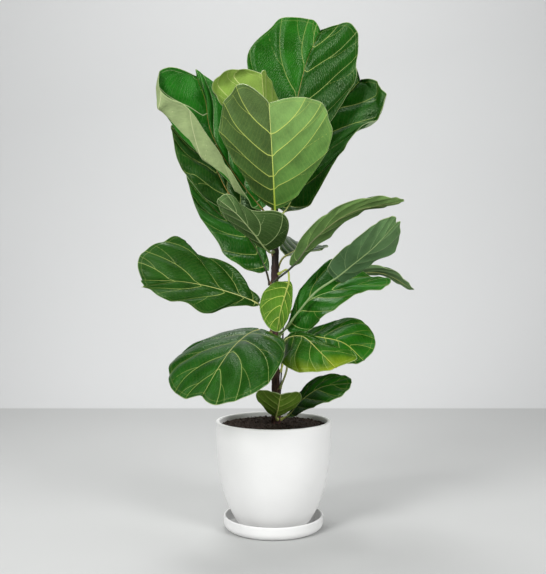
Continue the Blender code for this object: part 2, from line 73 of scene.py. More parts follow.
def feed(node, inputs):
    # a number or hex colour goes onto the socket itself; a node, or one of its outputs, is linked to it
    for socket, value in inputs.items():
        if isinstance(value, bpy.types.Node):
            value = next(output for output in value.outputs if output.enabled)
        if isinstance(value, bpy.types.NodeSocket):
            node.id_data.links.new(value, node.inputs[socket])
        else:
            node.inputs[socket].default_value = toLinear(value) if isinstance(value, str) else value


def addNode(tree, kind, inputs=None, stops=(), **settings):
    node = tree.nodes.new("ShaderNode" + kind)
    for name, value in settings.items():
        setattr(node, name, value)
    for number, (place, *colour) in enumerate(stops):
        # a colour ramp starts with two stops
        elements = node.color_ramp.elements
        stop = elements[number] if number < 2 else elements.new(place)
        stop.position, stop.color = place, toLinear(*colour)
    feed(node, inputs or {})
    return node


def startMaterial(name):
    # add makes a node in this material, and spots are places on the piece in metres
    made = bpy.data.materials.new(name)
    made.use_nodes = True
    add = functools.partial(addNode, made.node_tree)
    return made, add, made.node_tree.nodes["Principled BSDF"], add("TexCoord").outputs["Object"]


def makeGrained(name, look):
    # natural matter: its colours lie along one grain, which is also its relief
    made, add, shader, spots = startMaterial(name)
    drawn = add("Mapping", {"Vector": spots, "Scale": look["grain"]})
    grain = add("TexNoise", {"Vector": drawn, "Scale": 1, "Detail": look["detail"],
                             "Roughness": look["mixed"]})
    colour = add("ValToRGB", {"Fac": grain}, look["stops"])
    strength, depth = look["relief"]
    relief = add("Bump", {"Height": grain, "Strength": strength, "Distance": depth})
    if "top" in look:
        # above a height it turns to another colour: on the bark this is painted shade under the crown of
        # leaves
        (low, high), share, over = look["top"]
        height = add("SeparateXYZ", {"Vector": spots}).outputs["Z"]
        mask = add("MapRange", {"Value": height, "From Min": low, "From Max": high, "To Max": share})
        colour = add("Mix", {0: mask, 6: colour, 7: over}, data_type="RGBA")
    feed(shader, {"Base Color": colour, "Normal": relief, "Roughness": look["rough"],
                  "Specular IOR Level": look.get("specular", 0.5)})
    return made


def addObject(name, data):
    made = bpy.data.objects.new(name, data)
    bpy.context.scene.collection.objects.link(made)
    return made


def finishMesh(name, shape, materials):
    mesh = bpy.data.meshes.new(name)
    shape.normal_update()
    shape.to_mesh(mesh)
    shape.free()
    for material in materials:
        mesh.materials.append(material)
    mesh.shade_smooth()
    return addObject(name, mesh)


def finishPiece(name, shape, materials, node, sharpDegrees=60):
    piece = finishMesh(name, shape, materials)
    piece.data.set_sharp_from_angle(angle=math.radians(sharpDegrees))
    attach(piece, "root")
    if node:
        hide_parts(node)


def joinPoints(shape, within=1e-6):
    bmesh.ops.remove_doubles(shape, verts=shape.verts[:], dist=within)


def rollSleeve(shape, rings):
    # rings is rows by columns by xyz: a grid is bent onto them and its two long sides meet
    rows, columns = rings.shape[:2]
    grid = bmesh.ops.create_grid(shape, x_segments=columns, y_segments=rows - 1, size=1)
    places = np.concatenate([rings, rings[:, :1]], axis=1).reshape(-1, 3)
    for vert, place in zip(grid["verts"], places):
        vert.co = place
    return grid["verts"]


def unit(vectors):
    return vectors / np.maximum(np.linalg.norm(vectors, axis=-1, keepdims=True), 1e-12)


def direction(azimuth, elevation):
    turn, rise = math.radians(azimuth), math.radians(elevation)
    return np.array([math.cos(rise) * math.cos(turn), math.cos(rise) * math.sin(turn), math.sin(rise)])


def smooth(keys, at):
    # a smooth curve through keys, which are rows of a place on it and the values there
    keys = np.array(keys, float)
    at = np.atleast_1d(np.array(at, float))
    knots, values = keys[:, 0], keys[:, 1:]
    slopes = np.gradient(values, knots, axis=0)
    row = np.clip(np.searchsorted(knots, at, side="right") - 1, 0, len(knots) - 2)
    span = (knots[row + 1] - knots[row])[:, None]
    t = (at - knots[row])[:, None] / span
    start = values[row] * (1 + 2 * t) * (1 - t) ** 2 + slopes[row] * span * t * (1 - t) ** 2
    end = values[row + 1] * t**2 * (3 - 2 * t) - slopes[row + 1] * span * t**2 * (1 - t)
    return start + end


def spread(values, places):
    # values spread evenly over 0 to 1 as a smooth curve, read at places
    values = np.atleast_1d(np.array(values, float))
    if len(values) == 1:
        return np.full(len(places), values[0])
    return smooth(np.column_stack([np.linspace(0, 1, len(values)), values]), places)[:, 0]


def bell(distance, width):
    return np.exp(-((distance / width) ** 2))


def ramp(values, start, run):
    return np.clip((values - start) / run, 0, 1)


def ease(t):
    return t**2 * (3 - 2 * t)


def turns(count):
    return np.arange(count) * 2 * math.pi / count


studio = dict(
    wall="#d9dada",
    floor="#c2c3c2",
    floorEnd=1.60,
    toneBlend=0.012,
    world="#d9dadb",
    worldStrength=0.18,
    floorAhead=6.0,
    sweepStart=1.50,
    sweepRadius=1.15,
    wallAbove=2,
    halfWidth=8.0,
    lights=dict(
        # place, what it aims at, size, watts
        windowLight=((-2.0, -2.4, 1.9), (0, 0, 0.45), 1.3, 78),
        glossLight=((-0.9, -1.9, 2.9), (0, 0, 0.5), 0.5, 14),
        overheadLight=((-0.3, 0.8, 2.4), (0, 0, 0.6), 0.9, 21),
        fillLight=((2.1, -2.3, 1.6), (0, 0, 0.4), 1.3, 66),
        wallLight=((0, 0.3, 3.2), (0, 2.7, 1.5), 1.6, 34),
    ),
)


def makePaint(values):
    # matte painted plaster and floor board: the floor is a tone darker than the wall
    paint, add, shader, spots = startMaterial("matteStudioPaint")
    depth = add("SeparateXYZ", {"Vector": spots}).outputs["Y"]
    wall = add("MapRange", {"Value": depth, "From Min": values["floorEnd"] - values["toneBlend"],
                            "From Max": values["floorEnd"] + values["toneBlend"]})
    tone = add("Mix", {0: wall, 6: values["floor"], 7: values["wall"]}, data_type="RGBA")
    feed(shader, {"Base Color": tone, "Roughness": 0.85, "Specular IOR Level": 0.2})
    return paint


def makeStudio(values):
    # the floor curves up into the wall
    shape = bmesh.new()
    grid = bmesh.ops.create_grid(shape, x_segments=4, y_segments=160, size=1)
    start, radius = values["sweepStart"], values["sweepRadius"]
    arc = radius * math.pi / 2
    run = values["floorAhead"] + start + arc + values["wallAbove"]
    for vert in grid["verts"]:
        along = (vert.co.y + 1) / 2 * run - values["floorAhead"]
        past = along - start
        turn = min(max(past / radius, 0), math.pi / 2)
        rise = radius * (1 - math.cos(turn)) + max(past - arc, 0)
        vert.co = (vert.co.x * values["halfWidth"], min(along, start) + radius * math.sin(turn),
                   cadLow.z + rise)
    backdrop = finishMesh("backdrop", shape, [makePaint(values)])

    for name, (place, target, size, watts) in values["lights"].items():
        light = bpy.data.lights.new(name, "AREA")
        light.shape = "DISK"
        light.size, light.energy = size, watts
        lamp = addObject(name, light)
        lamp.location = place
        lamp.rotation_euler = (Vector(target) - Vector(place)).to_track_quat("-Z", "Y").to_euler()

    world = bpy.data.worlds.new("studioAir")
    world.use_nodes = True
    sky = world.node_tree.nodes["Background"]
    feed(sky, {"Color": values["world"], "Strength": values["worldStrength"]})
    bpy.context.scene.world = world
    bpy.context.scene.view_settings.view_transform = "Standard"


view = dict(place=(-0.001, -1.674, 0.503), lens=50, sensor=36)


def makeCamera(values):
    lens = bpy.data.cameras.new("camera")
    lens.lens, lens.sensor_width = values["lens"], values["sensor"]
    camera = addObject("camera", lens)
    camera.location = values["place"]
    camera.rotation_euler = (math.radians(90), 0, 0)
    bpy.context.scene.camera = camera


makeStudio(studio)
makeCamera(view)
print("studio and camera made")


pottery = dict(
    glaze="#f0f0ef",
    glazeShade="#e6e6e5",
    glazeRough=(0.42, 0.56),
    turns=180,
    potWall=0.0078,
    potFloor=0.010,
    potFoot=0.070,
    potSteep=3.3,
    potStraight=0.1,
    lipRound=0.0030,
    footRing=0.010,
    footRise=0.004,
    footRound=0.004,
    insideRound=0.006,
    drainHole=0.008,
    saucerWall=0.0045,
    saucerFloor=0.005,
    saucerFoot=0.090,
    saucerInset=0.010,
    saucerRound=0.008,
)


def makeStoneware(values):
    # matte white glazed stoneware: an even soft white, faint wheel marks 3 mm apart and a fine tooth,
    # drawn at 1 mm so that it shows
    made, add, shader, spots = startMaterial("matteWhiteStoneware")
    cloud = add("TexNoise", {"Vector": spots, "Scale": 11, "Detail": 5, "Roughness": 0.6})
    tint = add("Mix", {0: cloud, 6: values["glaze"], 7: values["glazeShade"]}, data_type="RGBA")
    squash = add("Mapping", {"Vector": spots, "Scale": (6, 6, 320)})
    marks = add("TexNoise", {"Vector": squash, "Scale": 1, "Detail": 2})
    grit = add("TexNoise", {"Vector": spots, "Scale": 900, "Detail": 2})
    low, high = values["glazeRough"]
    rough = add("MapRange", {"Value": cloud, "To Min": low, "To Max": high})
    wheel = add("Bump", {"Height": marks, "Strength": 0.12, "Distance": 0.0006})
    tooth = add("Bump", {"Height": grit, "Strength": 0.10, "Distance": 0.0002, "Normal": wheel})
    feed(shader, {"Base Color": tint, "Roughness": rough, "Normal": tooth, "Specular IOR Level": 0.4})
    return made


def spinProfile(profile, steps, closed=False):
    shape = bmesh.new()
    corners = [shape.verts.new((radius, 0, height)) for radius, height in profile]
    edges = [shape.edges.new(pair) for pair in zip(corners, corners[1:])]
    if closed:
        edges.append(shape.edges.new((corners[-1], corners[0])))
    bmesh.ops.spin(shape, geom=corners + edges, axis=(0, 0, 1), cent=(0, 0, 0), steps=steps,
                   angle=2 * math.pi, use_merge=True, use_duplicate=False)
    joinPoints(shape)
    bmesh.ops.recalc_face_normals(shape, faces=shape.faces[:])
    return shape


def arcPoints(centre, radiusX, radiusZ, start, end, count):
    angles = np.radians(np.linspace(start, end, count))
    return [(centre[0] + radiusX * math.cos(a), centre[1] + radiusZ * math.sin(a)) for a in angles]


potLow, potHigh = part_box("pot")
potHeight = potHigh.z - potLow.z
rimRadius = potHigh.x


def potRadius(height):
    # the outer radius at a height above the foot: it widens fast low down and little near the rim
    left = 1 - height / potHeight
    curve = (1 - pottery["potStraight"]) * left ** pottery["potSteep"] + pottery["potStraight"] * left
    return rimRadius - (rimRadius - pottery["potFoot"]) * curve


def makePot(values, glaze):
    wall, lip, foot, base = values["potWall"], values["lipRound"], values["potFoot"], potLow.z
    inner, outer = values["insideRound"], values["footRound"]
    heights = np.linspace(values["potFloor"] + inner, potHeight - lip, 40)
    floorTop, hollow = base + values["potFloor"], base + values["footRise"]
    profile = [(values["drainHole"], floorTop)]
    corner = (potRadius(heights[0]) - wall - inner, floorTop + inner)
    profile += arcPoints(corner, inner, inner, -90, -20, 5)
    profile += [(potRadius(height) - wall, base + height) for height in heights]
    profile += arcPoints((rimRadius - wall / 2, base + potHeight - lip), wall / 2, lip, 170, 10, 9)
    profile += [(potRadius(height), base + height) for height in heights[::-1]]
    profile += arcPoints((foot - outer, base + outer), outer, outer, -10, -90, 5)
    ringInner = foot - values["footRing"]
    profile += [(ringInner, base), (ringInner - 0.001, hollow), (values["drainHole"], hollow)]
    shape = spinProfile(profile, values["turns"], closed=True)
    finishPiece("glazed_pot", shape, [glaze], "pot", sharpDegrees=40)


def makeSaucer(values, glaze):
    low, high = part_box("saucer")
    wall, foot = values["saucerWall"], values["saucerFoot"]
    lip, corner, hollow = wall / 2, high.x - foot, values["saucerRound"]
    inner, floorTop = high.x - wall - values["saucerInset"], low.z + values["saucerFloor"]
    profile = [(0, floorTop), (inner, floorTop)]
    profile += arcPoints((inner, floorTop + hollow), hollow, hollow, -70, -10, 8)
    profile += arcPoints((high.x - lip, high.z - lip), lip, lip, 180, 0, 12)
    profile += arcPoints((foot, low.z + corner), corner, corner, 0, -90, 16)
    shape = spinProfile([*profile, (0, low.z)], values["turns"])
    finishPiece("glazed_saucer", shape, [glaze], "saucer", sharpDegrees=40)


stoneware = makeStoneware(pottery)
makePot(pottery, stoneware)
makeSaucer(pottery, stoneware)
print("pot and saucer made")


compost = dict(
    belowRim=0.0115,
    dome=0.0040,
    depth=0.030,
    wallGap=0.0006,
    turns=200,
    rows=72,
    lumpHeight=0.0022,
    lumpWidth=0.007,
    crumbs=900,
    seed=4,
    crumbSize=(0.0007, 0.0030),
    crumbEdge=0.002,
    crumbRise=0.3,
    # damp peat compost: nearly black hollows, brown crumbs about 6 mm across and a few pale fibres
    peat=dict(
        grain=(160, 160, 160), detail=8, mixed=0.7, relief=(0.9, 0.0015), rough=0.95, specular=0.25,
        stops=[(0.35, "#17120e"), (0.62, "#35291f"), (0.78, "#5a4a3c")],
    ),
)


def soilTop(radius, values):
    share = radius / (rimRadius - pottery["potWall"])
    return potHigh.z - values["belowRim"] + values["dome"] * (1 - share**2)


def soilLumps(x, y, values):
    return values["lumpHeight"] * noise.fractal(Vector((x, y, 0)) / values["lumpWidth"], 1.0, 2.0, 4)


def makeCompost(values, peat):
    surface = potHeight - values["belowRim"]
    wallRadius, lowRadius = (
        potRadius(height) - pottery["potWall"] - values["wallGap"]
        for height in (surface, surface - values["depth"])
    )
    lowHeight = potHigh.z - values["belowRim"] - values["depth"]
    rims = np.linspace(0, wallRadius, values["rows"])
    profile = [(radius, soilTop(radius, values)) for radius in rims]
    shape = spinProfile([*profile, (lowRadius, lowHeight), (0, lowHeight)], values["turns"])
    for vert in shape.verts:
        if vert.co.z > lowHeight + values["depth"] / 2:
            vert.co.z += soilLumps(vert.co.x, vert.co.y, values)
    random.seed(values["seed"])
    for _ in range(values["crumbs"]):
        radius = (wallRadius - values["crumbEdge"]) * math.sqrt(random.random())
        turn = random.uniform(0, 2 * math.pi)
        size = random.uniform(*values["crumbSize"]) * random.random() + values["crumbSize"][0]
        crumb = bmesh.ops.create_icosphere(shape, subdivisions=1, radius=size)["verts"]
        x, y = radius * math.cos(turn), radius * math.sin(turn)
        height = soilTop(radius, values) + soilLumps(x, y, values) + size * values["crumbRise"]
        spin = Matrix.Rotation(random.uniform(0, math.pi), 4, (random.random(), random.random(), 1))
        bmesh.ops.scale(shape, verts=crumb, vec=(1, random.uniform(0.5, 1), random.uniform(0.4, 0.8)))
        bmesh.ops.transform(shape, verts=crumb, matrix=Matrix.Translation((x, y, height)) @ spin)
    finishPiece("compost_bed", shape, [peat], "soil", sharpDegrees=180)


makeCompost(compost, makeGrained("dampPeatCompost", compost["peat"]))
print("compost made")


wood = dict(
    # height, sideways drift from the pot's axis, radius
    course=[
        (0.150, 0.005, 0.0098), (0.215, 0.005, 0.0096), (0.280, 0.0055, 0.0090), (0.340, 0.003, 0.0086),
        (0.410, 0.001, 0.0082), (0.500, 0.002, 0.0078), (0.580, 0.004, 0.0072), (0.672, 0.004, 0.0052),
    ],
    rows=260,
    columns=40,
    ringSwell=0.0010,
    ringHeight=0.006,
    ringAround=0.4,
    scar=0.0005,
    scarAbove=0.008,
    scarWidth=0.0012,
    furrow=0.0004,
    furrowAround=3.2,
    furrowAlong=55,
    budTaper=2.2,
    budWaist=0.12,
    budWaves=9,
    budOval=0.06,
    budLean=0.0015,
    # height, heading, length and lean of each dried scale left at a leaf's foot
    stipules=[
        (0.604, -35, 0.030, 62), (0.503, -132, 0.017, 48), (0.634, -70, 0.016, 22),
        (0.566, -150, 0.012, 25), (0.436, -60, 0.010, 30), (0.398, -120, 0.011, 26),
        (0.318, -130, 0.012, 30), (0.284, -60, 0.010, 25),
    ],
    stipuleWidth=0.0036,
    stipuleThickness=0.0005,
    stipuleSunk=0.0006,
    # the share of its lean that it has at its foot, and how much more at its tip
    stipuleBend=(0.3, 0.9),
    stakeRadius=0.0016,
    stakeKnots=(0.12, 60),
    # young fig bark: red-brown, upright cracks 4 mm apart, pale corky spots, and a nearly black top that is
    # painted shade, the stem darkened where the crown of leaves shadows it
    bark=dict(
        grain=(260, 260, 45), detail=6, mixed=0.65, relief=(0.7, 0.0008), rough=0.8,
        stops=[(0.36, "#241613"), (0.56, "#4e2f27"), (0.74, "#86685a")], top=((0.50, 0.56), 0.88, "#15110b"),
    ),
)
# dry plant skins: one brown each, clouded darker and lighter over 4 mm
drySkins = dict(
    paperyBudSheath=("#5b3a22", 0.6),
    driedStipule=("#8a6c4a", 0.7),
    darkStakeWood=("#22201c", 0.7),
)


def makeDrySkin(name):
    colour, rough = drySkins[name]
    return makeGrained(name, dict(
        grain=(240, 240, 240), detail=4, mixed=0.5, relief=(0.4, 0.0004), rough=rough,
        stops=[(0.3, colour, 0.6), (0.7, colour, 1.35)],
    ))


def roundRings(centres, radii):
    # rings round an upright line, each turned counter-clockwise as seen from above
    turn = turns(radii.shape[1])
    ring = np.stack([np.cos(turn), np.sin(turn), np.zeros(len(turn))], axis=1)
    return np.array(centres)[:, None] + radii[:, :, None] * ring[None]


def makeSleeves(name, sleeves, material, node):
    shape = bmesh.new()
    for rings in sleeves:
        rollSleeve(shape, rings)
    joinPoints(shape)
    finishPiece(name, shape, [material], node)


def makeStem(values, bark):
    low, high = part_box("stem")
    heights = np.linspace(low.z, high.z, values["rows"])
    course = smooth(values["course"], heights)
    turn = turns(values["columns"])
    radii = np.repeat(course[:, 1:2], len(turn), axis=1)
    for leaf in leafShapes.values():
        height, azimuth = leaf["node"]
        above = heights - height / 1000
        bulge = 0.5 + 0.5 * np.cos(turn - math.radians(azimuth))
        swell = values["ringSwell"] * bell(above, values["ringHeight"])[:, None]
        radii += swell * (values["ringAround"] + bulge)
        radii -= values["scar"] * bell(above - values["scarAbove"], values["scarWidth"])[:, None]
    around = values["furrowAround"]
    for row, height in enumerate(heights):
        for column, angle in enumerate(turn):
            spot = (math.cos(angle) * around, math.sin(angle) * around, height * values["furrowAlong"])
            radii[row, column] += values["furrow"] * noise.fractal(spot, 1.0, 2.0, 4)
    radii[[0, -1]] = 0
    heights[0], heights[-1] = heights[1] - 1e-5, heights[-2] + 1e-5
    centres = np.column_stack([course[:, 0], np.zeros(len(heights)), heights])
    makeSleeves("bark_stem", [roundRings(centres, radii)], bark, "stem")


def makeBud(values, sheath):
    low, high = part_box("terminal_bud")
    share = np.linspace(0, 1, 40)
    radii = (high.x - low.x) / 2 * (1 - share ** values["budTaper"])
    radii *= 1 + values["budWaist"] * np.sin(share * values["budWaves"])
    radii[0] = 0
    middle, height = (low.x + high.x) / 2, high.z - low.z
    centres = [(middle + values["budLean"] * s * s, 0, low.z - 0.001 + s * height) for s in share]
    rings = roundRings(centres, radii[:, None] * (1 + values["budOval"] * np.cos(2 * turns(24))))
    makeSleeves("sheathed_bud", [rings], sheath, "terminal_bud")


def makeStipules(values, sheath):
    # each is a lance-shaped scale that leans off the stem
    sleeves = []
    share, turn = np.linspace(0, 1, 16), turns(12)
    upward = np.array([0, 0, 1])
    foot, more = values["stipuleBend"]
    for height, heading, length, lean in values["stipules"]:
        drift, radius = smooth(values["course"], height)[0]
        outward = direction(heading, 0)
        side = np.cross(upward, outward)
        bend = np.radians(lean * (foot + more * share))[:, None]
        steps = (np.cos(bend) * upward + np.sin(bend) * outward) * length / len(share)
        start = np.array([drift, 0, height]) + outward * (radius - values["stipuleSunk"])
        centre = start + np.cumsum(steps, axis=0)
        girth = (1 - share**2.5)[:, None] * [values["stipuleWidth"], values["stipuleThickness"]]
        girth[0] = 0
        face = unit(np.cross(steps, side))
        across = np.cos(turn)[None, :, None] * side * girth[:, :1, None]
        through = np.sin(turn)[None, :, None] * face[:, None] * girth[:, 1:, None]
        sleeves.append(centre[:, None] + across + through)
    makeSleeves("papery_stipules", sleeves, sheath, None)


def makeStake(values, finish):
    low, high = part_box("stake")
    rise = np.linspace(0, 1, 60)
    foot = Vector((low.x + values["stakeRadius"], (low.y + high.y) / 2, low.z))
    top = Vector((high.x - values["stakeRadius"], (low.y + high.y) / 2, high.z - 0.0005))
    centres = [foot.lerp(top, share) for share in rise]
    swell, spacing = values["stakeKnots"]
    radii = values["stakeRadius"] * (1 + swell * np.sin(rise * spacing))[:, None] * np.ones((1, 14))
    radii[[0, -1]] = 0
    makeSleeves("thin_stake", [roundRings(centres, radii)], finish, "stake")


# Each leaf leaves the stem at a node: its height and azimuth. Its stalk and midrib pass through points,
# and its upper side faces azimuths and elevations spread from the blade's base to its tip. Left and right
# are as seen from above with the tip ahead. Each half has lists spread from base to tip: its widths, the
# fold up along the midrib and the further curl at the edge in degrees, a crease as a share of the width
# with the degrees that the blade turns over there, and how far the side veins reach forwards. Heights,
# points and widths are in millimetres.
leafShapes = dict(
    top_leaf=dict(
        node=(676, 80), rib=[(25, 30, 774), (53, 50, 916), (75, 55, 1000), (101, 50, 1057)],
        facing=[(-90, 5), (-90, 5)], outline="broad",
        left=dict(width=(70, 100, 118, 130, 100, 100, 70, 60, 50), fold=8),
        right=dict(
            width=(80, 100, 118, 120, 110, 112, 122, 120, 80), fold=12, curl=8,
            reach=(1, 1, 1, 1, 1, 1.1, 1.27, 1.4, 1),
        ),
    ),
    upper_right_leaf=dict(
        node=(653, 30), rib=[(23, 26, 663), (84, 60, 788), (133, 80, 888), (191, 80, 958)],
        facing=[(-110, 10), (-100, 10)], outline="broad",
        left=dict(width=(120, 90, 90, 90, 90), fold=10),
        right=dict(
            width=(110, 88, 74, 85, 115, 145, 160, 150, 120), fold=10, crease=(1, 0.95, 0.85, 0.78, 0.78),
            turn=(0, 0, 60, 130, 140),
        ),
    ),
    front_leaf=dict(
        node=(639, -90), rib=[(3, -26, 662), (-1, -75, 738), (-5, -100, 803), (-9, -110, 864)],
        facing=[(90, 10), (90, 5)], outline="broad",
        left=dict(width=(80, 105, 135, 138, 127, 140, 150, 160, 150), fold=20),
        right=dict(
            width=(80, 100, 120, 130, 130, 136, 155, 175, 170), fold=35,
            reach=(1, 1, 1, 1, 1, 1.24, 1.38, 1.9, 2.2),
        ),
    ),
    young_leaf=dict(
        node=(665, 140), rib=[(-3, -2, 717), (-11, -15, 809), (-19, -25, 879), (-24, -30, 942)],
        facing=[(90, 0), (90, 0)], outline="broad",
        left=dict(width=(50, 60, 65, 55, 35, 35), fold=(30, 45, 60, 66, 60)),
        right=dict(width=(50, 60, 80, 125, 155, 140), crease=(1, 1, 0.85, 0.84), turn=(0, 0, -110, -140)),
    ),
    upper_left_leaf=dict(
        node=(644, 175),
        rib=[(-24, 0, 667), (-94, 10, 759), (-135, 18, 840), (-145, 20, 900), (-164, 20, 951)],
        facing=[(-80, 10), (-80, 10)], outline="broad",
        left=dict(
            width=(50, 60, 66, 88, 125, 156, 180, 170, 120),
            crease=(0.5, 0.5, 0.52, 0.6, 0.74, 0.8, 0.84, 0.87, 0.9),
            turn=(0, 90, 140, 142, 142, 142, 142, 130, 100), reach=(1, 1, 1, 1, 1, 1, 1.15, 1.35, 1.4),
        ),
        right=dict(width=(50, 60, 60, 50, 42, 26, 15, 12, 12)),
    ),
    inner_left_leaf=dict(
        node=(612, -175),
        rib=[(-34, 0, 644), (-92, 14, 698), (-135, 28, 772), (-172, 30, 802), (-204, 30, 843)],
        facing=[(-80, 10), (-80, 10)], outline="broad",
        left=dict(width=(30, 42, 72, 66, 40, 26, 24, 24, 24), fold=8),
        right=dict(width=(50, 55, 45, 28, 24), fold=-5),
    ),
    outer_left_leaf=dict(
        node=(507, -170),
        rib=[(-15, -5, 536), (-35, 8, 581), (-58, 20, 613), (-130, 45, 673), (-188, 60, 753)],
        facing=[(-75, 15), (-80, 10)],
        left=dict(width=(130, 110, 66, 42, 30, 22, 18, 15, 15)), right=dict(width=(30, 35, 35)),
    ),
    cupped_leaf=dict(
        node=(576, -120), rib=[(-9, -36, 575), (-43, -75, 615), (-74, -100, 649), (-109, -110, 676)],
        facing=[(55, 70), (60, 42), (60, 40)],
        left=dict(
            width=(95, 118, 78, 34, 22, 28, 34, 36, 36), fold=15, curl=(30, 50),
            reach=(1.3, 1.5, 1.3, 1, 1, 1, 1, 1, 1),
        ),
        right=dict(width=(50, 40, 30), fold=12),
    ),
    thin_right_leaf=dict(
        node=(512, -105), stalk=[(11, -43, 522)],
        rib=[(38, -56, 544), (80, -68, 598), (152, -75, 651), (264, -65, 676)], facing=[(90, 75), (90, 80)],
        left=dict(width=(20, 47, 34, 18, 12, 10, 10), fold=-10),
        right=dict(width=(50, 37, 30, 30, 28, 25, 25), fold=(25, 15)),
    ),
    back_leaf=dict(
        node=(543, 50), stalk=[(18, 20, 562)],
        rib=[(27, 40, 570), (50, 100, 585), (66, 160, 595), (75, 220, 598)], facing=[(-90, 45), (-90, 45)],
        left=dict(width=60, fold=20), right=dict(width=60, fold=10),
    ),
    middle_right_leaf=dict(
        node=(396, -30), stalk=[(51, -30, 451), (87, -40, 493)],
        rib=[(125, -35, 519), (160, -50, 548), (201, -80, 583), (244, -90, 630)],
        facing=[(100, 60), (100, 50)], outline="broad",
        left=dict(width=(80, 62, 44, 56, 46, 28, 14, 12, 12)),
        right=dict(width=(120, 72, 54, 43, 36, 30, 30, 30, 30), fold=8),
    ),
    narrow_right_leaf=dict(
        node=(429, 85), stalk=[(33, 30, 447)],
        rib=[(68, 40, 475), (144, 50, 522), (234, 45, 533), (301, 35, 497)], facing=[(90, 75), (90, 70)],
        left=dict(width=20), right=dict(width=(20, 25, 25, 20), fold=(10, 0)),
    ),
    arching_leaf=dict(
        node=(404, -10), rib=[(28, -5, 417), (74, -12, 474), (149, -10, 501), (246, -5, 516)],
        facing=[(-90, 40), (-90, 60)],
        left=dict(width=(20, 28, 60, 80, 45, 20, 20, 24, 24), fold=(10, 20)),
        right=dict(width=(130, 90, 66, 44, 28, 34, 34, 24, 24)),
    ),
    middle_left_leaf=dict(
        node=(449, -170), rib=[(-32, -20, 468), (-105, -50, 497), (-179, -60, 513), (-266, -60, 517)],
        facing=[(-80, 20), (-100, 10)], outline="broad",
        left=dict(
            width=(30, 30, 50, 76, 50, 46, 36, 22, 20, 24, 32, 38, 38), fold=(15, 10),
            reach=(1, 1, 1, 1, 1, 1, 1, 1, 1, 0.9, 0.75, 0.6, 1),
        ),
        right=dict(width=(60, 45, 80, 78, 70, 98, 85, 82, 81, 85, 90, 95, 90), fold=(-15, 0)),
    ),
    lower_left_leaf=dict(
        node=(407, -130), rib=[(-30, -30, 414), (-70, -100, 394), (-101, -160, 355), (-132, -200, 301)],
        facing=[(-110, 60), (-120, 20)], outline="broad",
        left=dict(width=(110, 125, 130, 118, 98, 78, 70, 65, 65), curl=-20),
        right=dict(width=(100, 130, 145, 130, 112, 100, 90, 90, 90), curl=(-30, -20)),
    ),
    hanging_leaf=dict(
        node=(530, -30), stalk=[(28, -9, 539)],
        rib=[(32, -18, 515), (26, -23, 493), (16, -34, 460), (7, -40, 411)],
        facing=[(85, 20), (85, 0), (85, 0)],
        left=dict(width=(70, 62, 52, 45, 38, 34, 32, 30, 30)),
        right=dict(width=(28, 20, 14), fold=(15, 30, 35)),
    ),
    yellowing_leaf=dict(
        node=(291, -40), stalk=[(28, -20, 335)],
        rib=[(24, -30, 392), (56, -70, 404), (91, -120, 376), (120, -140, 347)],
        facing=[(-80, 50), (-70, 40)],
        left=dict(
            width=(20, 15, 16, 20, 30, 45, 80, 110, 100), fold=(20, 10),
            reach=(1, 1, 1, 1, 1, 1, 1.3, 1.8, 1.8),
        ),
        right=dict(width=(90, 90, 80, 70, 58, 46, 38, 30, 30), fold=(-30, -20), reach=(1, 1.2, 1.1, 1, 1)),
    ),
    lower_right_leaf=dict(
        node=(324, 10), stalk=[(31, 20, 369)],
        rib=[(63, 10, 397), (107, -20, 397), (146, -50, 387), (182, -70, 354)],
        facing=[(-90, 45), (-80, 40)],
        left=dict(width=(50, 60, 75, 75, 68, 68, 70, 75, 70)), right=dict(width=(60, 50, 40)),
    ),
    small_bottom_leaf=dict(
        node=(227, -75), rib=[(5, -30, 235), (9, -50, 254), (13, -65, 279), (15, -75, 288)],
        facing=[(90, 40), (90, 60)],
        left=dict(width=(45, 50, 45), fold=20), right=dict(width=(45, 50, 45), fold=20),
    ),
    bottom_right_leaf=dict(
        node=(226, -20), rib=[(30, -10, 234), (59, -30, 270), (99, -50, 299), (158, -70, 310)],
        facing=[(-90, 50), (-90, 50)],
        left=dict(width=(20, 30, 30, 30)), right=dict(width=(30, 45, 45, 30)),
    ),
)
